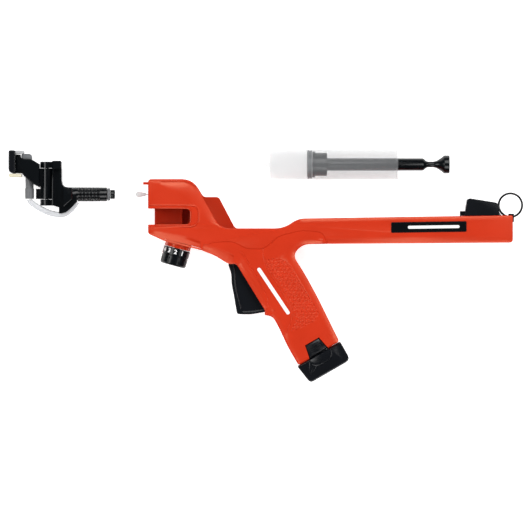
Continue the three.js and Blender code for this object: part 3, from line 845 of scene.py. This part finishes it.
# ---- the syringe ---------------------------------------------------------------------------------
@dataclass
class Syringe:
    """The cloudy barrel, its seal and its plunger rod."""

    kit: Kit

    def build(self) -> None:
        """Turns the three pieces about the barrel's axis."""
        low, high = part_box("syringe_barrel")
        middle = (low + high) / 2
        centre = Vector((self.kit.datum.origin.x, middle.y, middle.z))
        barrel = [(2.2, 123.1), (4.3, 123.1), (4.75, 123.6), (4.8, 137), (5.2, 137.5), (16.6, 137.9),
                  (17.8, 138.4),
                  (18.4, 139.4), (18.4, 283.6), (18.8, 284.3), (19.6, 284.4), (19.8, 284.7), (19.8, 287),
                  (19.5, 287.3),
                  (17.2, 287.3), (17, 287), (17, 141), (16.2, 140.2), (3.4, 139.6), (2.2, 138.6)]
        self.kit.settle(turned("syringe_barrel_finished", barrel, Axis.X, centre, 96), "syringe_barrel",
                        BARREL)
        seal = [(0, 182.6), (13.6, 182.6), (16.2, 183.4), (16.7, 184), (16.7, 184.9), (15.6, 185.3),
                (15.6, 186.6),
                (16.7, 187), (16.7, 188), (16.3, 188.4), (0, 188.4)]
        self.kit.settle(turned("plunger_seal_finished", seal, Axis.X, centre, 72), "plunger_seal", GREY)
        rod = [(0, 188.8), (14.8, 188.8), (15, 189.1), (15, 191.7), (13.4, 192.4), (13.4, 205),
               (12.9, 205.6), (7.6, 206),
               (7.2, 206.6), (7.2, 315.8), (6.4, 317.4), (3.9, 320), (3.3, 322), (3.3, 328), (4.1, 331.6),
               (7.4, 336.8),
               (10.1, 340), (10.5, 341), (10.5, 346), (9.9, 346.8), (0, 346.8)]
        self.kit.settle(turned("plunger_rod_finished", rod, Axis.X, centre, 72), "plunger_rod", BLACK)


# ---- the edging head -----------------------------------------------------------------------------
@dataclass
class EdgingHead:
    """The head's body and ribbed tail, its swivelling arm, its pad and the hose that feeds it."""

    kit: Kit
    tail_y: float = 25.5
    tail_r: float = 8.15

    hose_route = [(-136.9, 19.6), (-136.5, 17.6), (-129.6, 11.9), (-117.6, 5.6), (-109, 2.9),
                  (-101.3, 1.7), (-95.4, 3.2),
                  (-90, 7), (-85.2, 12.2), (-82.6, 17)]

    def build(self) -> None:
        """Makes the head's pieces."""
        self.build_body()
        self.build_tail()
        self.kit.settle(self.kit.copy("swivel_arm"), "swivel_arm", BLACK, 0.6)
        self.kit.settle(self.kit.copy("pad_plate"), "pad_plate", SATIN_BLACK, 0.8)
        self.kit.settle(self.kit.copy("release_button"), "release_button", GREY, 0.8)
        self.kit.settle(self.kit.copy("edge_guide"), "edge_guide", PALE_GREY, 0.4)
        self.build_fitting()
        self.build_pad()
        self.build_hose()

    def build_body(self) -> None:
        """The head's body without its tail."""
        body = self.kit.copy("head_body")
        tool = object_from(self.box_mesh((-80.9, -30), (10, 40), (-12, 12)), "tail_tool")
        cut(body, tool)
        self.kit.settle(body, "head_body", BLACK, 0.5)

    def box_mesh(self, xs: Point, ys: Point, zs: Point) -> bmesh.types.BMesh:
        """A box between drawing limits, as a bmesh."""
        low, high = self.kit.datum.at(xs[0], ys[0], zs[0]), self.kit.datum.at(xs[1], ys[1], zs[1])
        size = high - low
        bm = bmesh.new()
        bmesh.ops.create_cube(bm, size=1,
                              matrix=Matrix.Translation((low + high) / 2) @ Matrix.Diagonal((*size, 1)))
        return bm

    def build_tail(self) -> None:
        """The ribbed tail with its collar, seal ring and tip."""
        centre = self.kit.datum.at(0, self.tail_y)
        r, root = self.tail_r, self.tail_r - 1.7
        outer = [(4.2, -81.3), (r, -81.3), (r, -80.9), (root, -80.6)]
        for i in range(6):
            start = -79.0 + 4 * i
            outer += [(root, start), (r - 0.5, start + 0.4), (r, start + 1.0), (r, start + 1.4),
                      (r - 0.5, start + 2.0),
                      (root, start + 2.4)]
        outer += [(root, -55.9), (r, -55.5), (r, -47.8), (r - 0.4, -47.4), (5.6, -47.4), (5.6, -43.8),
                  (4.2, -43.8)]
        tail = turned("head_tail", outer, Axis.X, centre, 64)
        rails = []
        for up in (-1, 1):
            rails.append((Matrix.Translation(self.kit.datum.at(-68.4, self.tail_y + up * (r - 0.85))),
                          Vector((25.4, 1.5, 3)) * MM))
        ribs_on(tail, rails, 0.3)
        shade(tail)
        self.kit.detail(tail, "head_body", BLACK, "black_plastic")
        seal = [(5.9, -47.1), (6.9, -47.1), (7.2, -46.6), (7.2, -44.4), (6.9, -43.9), (5.9, -43.9)]
        self.kit.settle(turned("tail_seal_finished", seal, Axis.X, centre, 48), "tail_seal", GREY)
        tip = [(4.2, -43.5), (5.2, -43.5), (5.4, -43.2), (5.4, -39.4), (4.9, -38.4), (4.2, -38.4)]
        self.kit.settle(turned("tail_tip_finished", tip, Axis.X, centre, 48), "tail_tip", BLACK)

    def build_fitting(self) -> None:
        """The grey feed fitting that the hose pushes on to."""
        profile = [(0, 20.4), (4.8, 20.4), (5.2, 20.8), (5.2, 32.1), (4.7, 32.8), (4.7, 44.9),
                   (4.3, 45.3), (0, 45.3)]
        low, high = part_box("feed_fitting")
        centre = Vector(((low.x + high.x) / 2, self.kit.datum.origin.y, (low.z + high.z) / 2))
        self.kit.settle(turned("feed_fitting_finished", profile, Axis.Y, centre, 48), "feed_fitting",
                        GREY)

    def build_pad(self) -> None:
        """The foam pad, crowned and softly uneven."""
        low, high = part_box("paint_pad")
        size, middle = high - low, (low + high) / 2
        bm = bmesh.new()
        bmesh.ops.create_cube(bm, size=1, matrix=Matrix.Translation(middle) @ Matrix.Diagonal((*size, 1)))
        bmesh.ops.bevel(bm, geom=bm.edges[:], offset=1.2 * MM, segments=2, profile=0.5, affect="EDGES",
                        material=-1)
        bmesh.ops.subdivide_edges(bm, edges=bm.edges[:], cuts=5, use_grid_fill=True)
        for vert in bm.verts:
            wave = math.sin(vert.co.x * 900) * math.sin(vert.co.z * 700 + 1) * math.sin(vert.co.y * 800 + 2)
            vert.co.y += wave * 0.12 * MM
        pad = object_from(bm, "paint_pad_finished")
        self.kit.settle(pad, "paint_pad", FOAM)

    def build_hose(self) -> None:
        """The clear hose, swept along a fixed route."""
        route = [self.kit.datum.at(x, y) for x, y in self.hose_route]
        hose = swept("paint_hose_finished", route, 3.3)
        hose.data.materials.append(HOSE.material())
        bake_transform(hose)
        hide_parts("paint_hose")
        self.kit.done.add("paint_hose")


# ---- the studio ----------------------------------------------------------------------------------
@dataclass
class Studio:
    centre: Vector
    view_width: float = 0.6095
    distance: float = 8.0

    def build(self) -> None:
        """Makes the floor, the lights and the camera."""
        self.build_floor()
        self.build_lights()
        data = bpy.data.cameras.new("camera")
        data.sensor_width = 36
        data.lens = 36 * (self.distance - 0.03) / self.view_width
        camera = bpy.data.objects.new("camera", data)
        camera.location = self.centre + Vector((0, 0, self.distance))
        bpy.context.scene.collection.objects.link(camera)
        bpy.context.scene.camera = camera
        bpy.context.scene.view_settings.view_transform = "Standard"

    def build_floor(self) -> None:
        """A plain white light table at the bench's height."""
        bm = bmesh.new()
        bmesh.ops.create_grid(bm, x_segments=1, y_segments=1, size=4)
        floor = object_from(bm, "floor")
        material = bpy.data.materials.new("floor_white")
        material.use_nodes = True
        shader = material.node_tree.nodes["Principled BSDF"]
        shader.inputs["Base Color"].default_value = (0.9, 0.9, 0.9, 1)
        shader.inputs["Roughness"].default_value = 0.9
        shader.inputs["Specular IOR Level"].default_value = 0.1
        shader.inputs["Emission Color"].default_value = (1, 1, 1, 1)
        shader.inputs["Emission Strength"].default_value = 0.7
        floor.data.materials.append(material)

    def build_lights(self) -> None:
        """A soft box on each side and a dim sky, so that flat faces stay deep and rounded edges shine."""
        world = bpy.data.worlds.new("studio")
        world.use_nodes = True
        world.node_tree.nodes["Background"].inputs["Color"].default_value = (1, 1, 1, 1)
        world.node_tree.nodes["Background"].inputs["Strength"].default_value = 0.06
        bpy.context.scene.world = world
        for name, spot, size, power in (
            ("key", (0.1, 1.25, 1.75), 1.2, 26),
            ("front", (-0.1, -1.2, 1.75), 1.0, 17),
            ("left", (-1.35, 0.2, 1.55), 0.9, 13),
            ("right", (1.35, 0.1, 1.55), 0.9, 13),
        ):
            data = bpy.data.lights.new(name, "AREA")
            data.size = size
            data.energy = power
            lamp = bpy.data.objects.new(name, data)
            lamp.location = spot
            lamp.rotation_euler = (self.centre - Vector(spot)).to_track_quat("-Z", "Y").to_euler()
            bpy.context.scene.collection.objects.link(lamp)


def main() -> None:
    logging.basicConfig(level=logging.INFO, format="%(name)s: %(message)s")
    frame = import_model()
    datum = Datum.from_frame()
    kit = Kit(frame, datum)
    Studio(datum.at(134.3, -55.8, -22)).build()
    for assembly in (Shells(kit), Controls(kit), Pusher(kit), Nose(kit), Syringe(kit), EdgingHead(kit)):
        assembly.build()
    kit.refine_rest()


if __name__ == "__main__":
    main()
